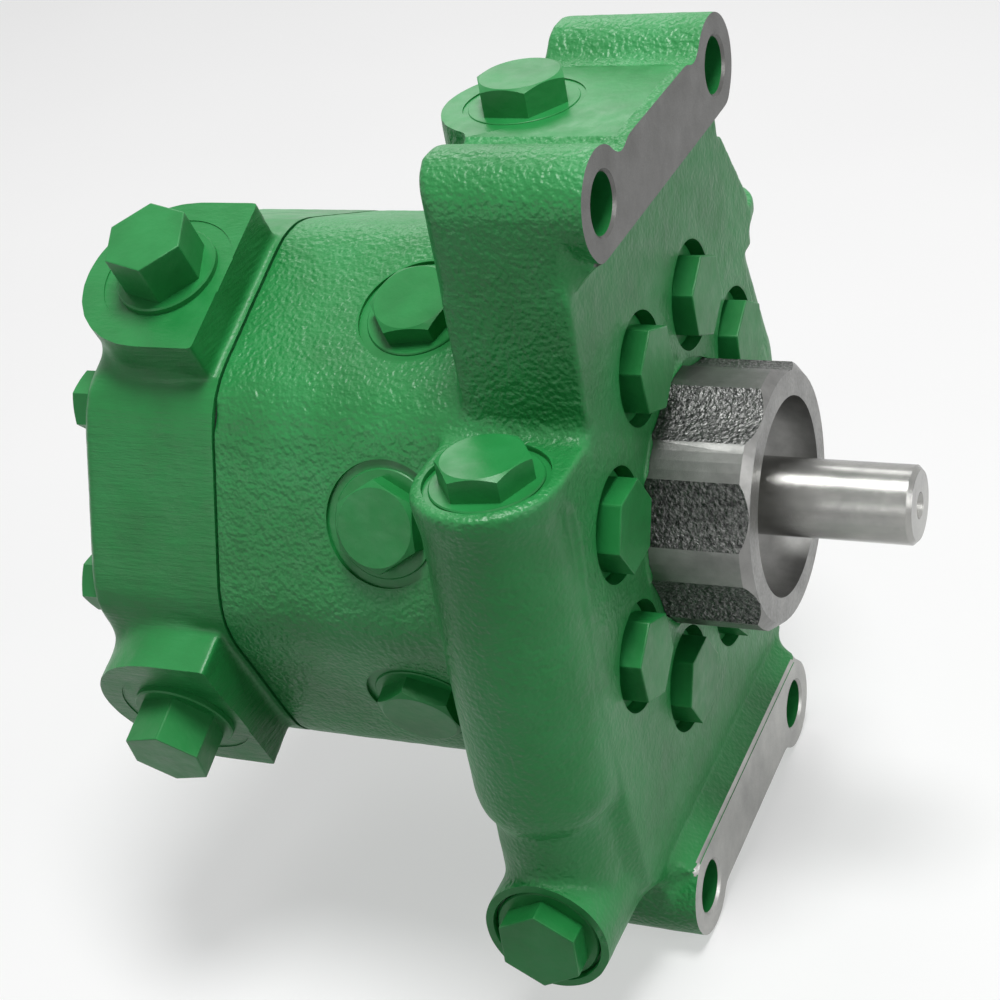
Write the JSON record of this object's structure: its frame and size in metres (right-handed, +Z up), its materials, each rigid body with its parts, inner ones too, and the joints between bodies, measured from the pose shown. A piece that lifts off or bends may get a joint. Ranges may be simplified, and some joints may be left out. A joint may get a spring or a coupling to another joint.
{
  "type": "radial piston hydraulic pump",
  "caption": "Flange-mounted radial piston hydraulic pump with cast housing, bolted rear cover, hexagon plugs, lobed hub and plain round drive shaft",
  "frame": {"origin": "centre of the four mounting holes on the machined pads, on the shaft axis", "axes": "+X along the drive shaft and out of the front, +Z up towards the port shelf"},
  "size_m": [0.227, 0.2037, 0.2507],
  "materials": {
    "paint": "green gloss paint on cast iron",
    "shaft_steel": "ground",
    "bearing_steel": "ground",
    "valve_steel": "lapped",
    "spring_steel": "oiled",
    "bronze": "machined",
    "seal_rubber": "matt",
    "gasket": "pressed fibre"
  },
  "bodies": {
    "root": {"housing": "paint", "rear_cover": "paint", "cover_gasket": "gasket", "cover_oring": "seal_rubber", "cover_screws": "paint", "front_bearing_cup": "bearing_steel", "rear_bearing_cup": "bearing_steel", "bearing_shims": "bearing_steel", "shaft_seal": "seal_rubber", "seal_snap_ring": "bearing_steel", "piston_springs": "spring_steel", "piston_plugs": "paint", "piston_plug_orings": "seal_rubber", "outlet_valve_springs": "spring_steel", "outlet_valve_plugs": "paint", "outlet_plug_orings": "seal_rubber", "inlet_valve_springs": "spring_steel", "inlet_valve_cages": "valve_steel", "stroke_control_spring": "spring_steel", "stroke_control_plug": "paint", "crankcase_outlet_spring": "spring_steel", "crankcase_outlet_plug": "paint", "control_plug_orings": "seal_rubber", "port_plugs": "paint", "port_plug_orings": "seal_rubber"},
    "drive_shaft": {"shaft": "shaft_steel", "thrust_washers": "bronze", "front_bearing_cone": "bearing_steel", "rear_bearing_cone": "bearing_steel"},
    "race": {"race_ring": "bearing_steel"},
    "needles": {"needle_bearing": "bearing_steel"},
    "front_rollers": {"front_bearing_rollers": "bearing_steel"},
    "rear_rollers": {"rear_bearing_rollers": "bearing_steel"},
    "stroke_control": {"stroke_control_valve": "valve_steel"},
    "crankcase_outlet": {"crankcase_outlet_valve": "valve_steel"},
    "piston_body_1": {"piston_1": "valve_steel"},
    "piston_body_2": {"piston_2": "valve_steel"},
    "piston_body_3": {"piston_3": "valve_steel"},
    "piston_body_4": {"piston_4": "valve_steel"},
    "piston_body_5": {"piston_5": "valve_steel"},
    "piston_body_6": {"piston_6": "valve_steel"},
    "piston_body_7": {"piston_7": "valve_steel"},
    "piston_body_8": {"piston_8": "valve_steel"},
    "outlet_valve_body_1": {"outlet_valve_1": "valve_steel"},
    "outlet_valve_body_2": {"outlet_valve_2": "valve_steel"},
    "outlet_valve_body_3": {"outlet_valve_3": "valve_steel"},
    "outlet_valve_body_4": {"outlet_valve_4": "valve_steel"},
    "outlet_valve_body_5": {"outlet_valve_5": "valve_steel"},
    "outlet_valve_body_6": {"outlet_valve_6": "valve_steel"},
    "outlet_valve_body_7": {"outlet_valve_7": "valve_steel"},
    "outlet_valve_body_8": {"outlet_valve_8": "valve_steel"},
    "inlet_valve_body_1": {"inlet_valve_1": "valve_steel"},
    "inlet_valve_body_2": {"inlet_valve_2": "valve_steel"},
    "inlet_valve_body_3": {"inlet_valve_3": "valve_steel"},
    "inlet_valve_body_4": {"inlet_valve_4": "valve_steel"},
    "inlet_valve_body_5": {"inlet_valve_5": "valve_steel"},
    "inlet_valve_body_6": {"inlet_valve_6": "valve_steel"},
    "inlet_valve_body_7": {"inlet_valve_7": "valve_steel"},
    "inlet_valve_body_8": {"inlet_valve_8": "valve_steel"}
  },
  "joints": [
    {"name": "shaft_spin", "type": "hinge", "parent": "root", "child": "drive_shaft", "pos_m": [0, 0, 0], "axis": [1, 0, 0], "continuous": true},
    {"name": "race_spin", "type": "hinge", "parent": "drive_shaft", "child": "race", "pos_m": [-0.065, 0.0055, 0], "axis": [1, 0, 0], "continuous": true},
    {"name": "needle_spin", "type": "hinge", "parent": "drive_shaft", "child": "needles", "pos_m": [-0.065, 0.0055, 0], "axis": [1, 0, 0], "continuous": true},
    {"name": "front_roller_spin", "type": "hinge", "parent": "root", "child": "front_rollers", "pos_m": [-0.0375, 0, 0], "axis": [1, 0, 0], "continuous": true},
    {"name": "rear_roller_spin", "type": "hinge", "parent": "root", "child": "rear_rollers", "pos_m": [-0.0925, 0, 0], "axis": [1, 0, 0], "continuous": true},
    {"name": "piston_1_stroke", "type": "slide", "parent": "root", "child": "piston_body_1", "axis": [0, -0.9239, -0.3827], "range_m": [0, 0.0008], "deforming": ["piston_springs"]},
    {"name": "piston_2_stroke", "type": "slide", "parent": "root", "child": "piston_body_2", "axis": [0, -0.3827, -0.9239], "range_m": [0, 0.0037], "deforming": ["piston_springs"]},
    {"name": "piston_3_stroke", "type": "slide", "parent": "root", "child": "piston_body_3", "axis": [0, 0.3827, -0.9239], "range_m": [0, 0.0037], "deforming": ["piston_springs"]},
    {"name": "piston_4_stroke", "type": "slide", "parent": "root", "child": "piston_body_4", "axis": [0, -0.9239, 0.3827], "range_m": [-0.0037, 0], "deforming": ["piston_springs"]},
    {"name": "piston_5_stroke", "type": "slide", "parent": "root", "child": "piston_body_5", "axis": [0, -0.9239, -0.3827], "range_m": [-0.0079, 0], "deforming": ["piston_springs"]},
    {"name": "piston_6_stroke", "type": "slide", "parent": "root", "child": "piston_body_6", "axis": [0, -0.3827, -0.9239], "range_m": [-0.0079, 0], "deforming": ["piston_springs"]},
    {"name": "piston_7_stroke", "type": "slide", "parent": "root", "child": "piston_body_7", "axis": [0, -0.3827, 0.9239], "range_m": [0, 0.0037], "deforming": ["piston_springs"]},
    {"name": "piston_8_stroke", "type": "slide", "parent": "root", "child": "piston_body_8", "axis": [0, -0.9239, 0.3827], "range_m": [0, 0.0008], "deforming": ["piston_springs"]},
    {"name": "outlet_valve_1_lift", "type": "slide", "parent": "root", "child": "outlet_valve_body_1", "axis": [1, 0, 0], "range_m": [0, 0.0015], "stiffness_N_per_m": 300, "springref_m": -0.004, "deforming": ["outlet_valve_springs"]},
    {"name": "outlet_valve_2_lift", "type": "slide", "parent": "root", "child": "outlet_valve_body_2", "axis": [1, 0, 0], "range_m": [0, 0.0015], "stiffness_N_per_m": 300, "springref_m": -0.004, "deforming": ["outlet_valve_springs"]},
    {"name": "outlet_valve_3_lift", "type": "slide", "parent": "root", "child": "outlet_valve_body_3", "axis": [1, 0, 0], "range_m": [0, 0.0015], "stiffness_N_per_m": 300, "springref_m": -0.004, "deforming": ["outlet_valve_springs"]},
    {"name": "outlet_valve_4_lift", "type": "slide", "parent": "root", "child": "outlet_valve_body_4", "axis": [1, 0, 0], "range_m": [0, 0.0015], "stiffness_N_per_m": 300, "springref_m": -0.004, "deforming": ["outlet_valve_springs"]},
    {"name": "outlet_valve_5_lift", "type": "slide", "parent": "root", "child": "outlet_valve_body_5", "axis": [1, 0, 0], "range_m": [0, 0.0015], "stiffness_N_per_m": 300, "springref_m": -0.004, "deforming": ["outlet_valve_springs"]},
    {"name": "outlet_valve_6_lift", "type": "slide", "parent": "root", "child": "outlet_valve_body_6", "axis": [1, 0, 0], "range_m": [0, 0.0015], "stiffness_N_per_m": 300, "springref_m": -0.004, "deforming": ["outlet_valve_springs"]},
    {"name": "outlet_valve_7_lift", "type": "slide", "parent": "root", "child": "outlet_valve_body_7", "axis": [1, 0, 0], "range_m": [0, 0.0015], "stiffness_N_per_m": 300, "springref_m": -0.004, "deforming": ["outlet_valve_springs"]},
    {"name": "outlet_valve_8_lift", "type": "slide", "parent": "root", "child": "outlet_valve_body_8", "axis": [1, 0, 0], "range_m": [0, 0.0015], "stiffness_N_per_m": 300, "springref_m": -0.004, "deforming": ["outlet_valve_springs"]},
    {"name": "inlet_valve_1_lift", "type": "slide", "parent": "root", "child": "inlet_valve_body_1", "axis": [1, 0, 0], "range_m": [0, 0.0015], "stiffness_N_per_m": 300, "springref_m": -0.004, "deforming": ["inlet_valve_springs"]},
    {"name": "inlet_valve_2_lift", "type": "slide", "parent": "root", "child": "inlet_valve_body_2", "axis": [1, 0, 0], "range_m": [0, 0.0015], "stiffness_N_per_m": 300, "springref_m": -0.004, "deforming": ["inlet_valve_springs"]},
    {"name": "inlet_valve_3_lift", "type": "slide", "parent": "root", "child": "inlet_valve_body_3", "axis": [1, 0, 0], "range_m": [0, 0.0015], "stiffness_N_per_m": 300, "springref_m": -0.004, "deforming": ["inlet_valve_springs"]},
    {"name": "inlet_valve_4_lift", "type": "slide", "parent": "root", "child": "inlet_valve_body_4", "axis": [1, 0, 0], "range_m": [0, 0.0015], "stiffness_N_per_m": 300, "springref_m": -0.004, "deforming": ["inlet_valve_springs"]},
    {"name": "inlet_valve_5_lift", "type": "slide", "parent": "root", "child": "inlet_valve_body_5", "axis": [1, 0, 0], "range_m": [0, 0.0015], "stiffness_N_per_m": 300, "springref_m": -0.004, "deforming": ["inlet_valve_springs"]},
    {"name": "inlet_valve_6_lift", "type": "slide", "parent": "root", "child": "inlet_valve_body_6", "axis": [1, 0, 0], "range_m": [0, 0.0015], "stiffness_N_per_m": 300, "springref_m": -0.004, "deforming": ["inlet_valve_springs"]},
    {"name": "inlet_valve_7_lift", "type": "slide", "parent": "root", "child": "inlet_valve_body_7", "axis": [1, 0, 0], "range_m": [0, 0.0015], "stiffness_N_per_m": 300, "springref_m": -0.004, "deforming": ["inlet_valve_springs"]},
    {"name": "inlet_valve_8_lift", "type": "slide", "parent": "root", "child": "inlet_valve_body_8", "axis": [1, 0, 0], "range_m": [0, 0.0015], "stiffness_N_per_m": 300, "springref_m": -0.004, "deforming": ["inlet_valve_springs"]},
    {"name": "stroke_control_slide", "type": "slide", "parent": "root", "child": "stroke_control", "axis": [0, -0.3827, 0.9239], "range_m": [0, 0.0025], "stiffness_N_per_m": 800, "springref_m": -0.004, "deforming": ["stroke_control_spring"]},
    {"name": "crankcase_outlet_slide", "type": "slide", "parent": "root", "child": "crankcase_outlet", "axis": [0, -0.9239, -0.3827], "range_m": [0, 0.0025], "stiffness_N_per_m": 800, "springref_m": -0.004, "deforming": ["crankcase_outlet_spring"]}
  ],
  "couplings": [
    {"joint": "race_spin", "follows": "shaft_spin", "ratio": -1},
    {"joint": "needle_spin", "follows": "shaft_spin", "ratio": -0.5372},
    {"joint": "front_roller_spin", "follows": "shaft_spin", "ratio": 0.4201},
    {"joint": "rear_roller_spin", "follows": "shaft_spin", "ratio": 0.4201}
  ]
}
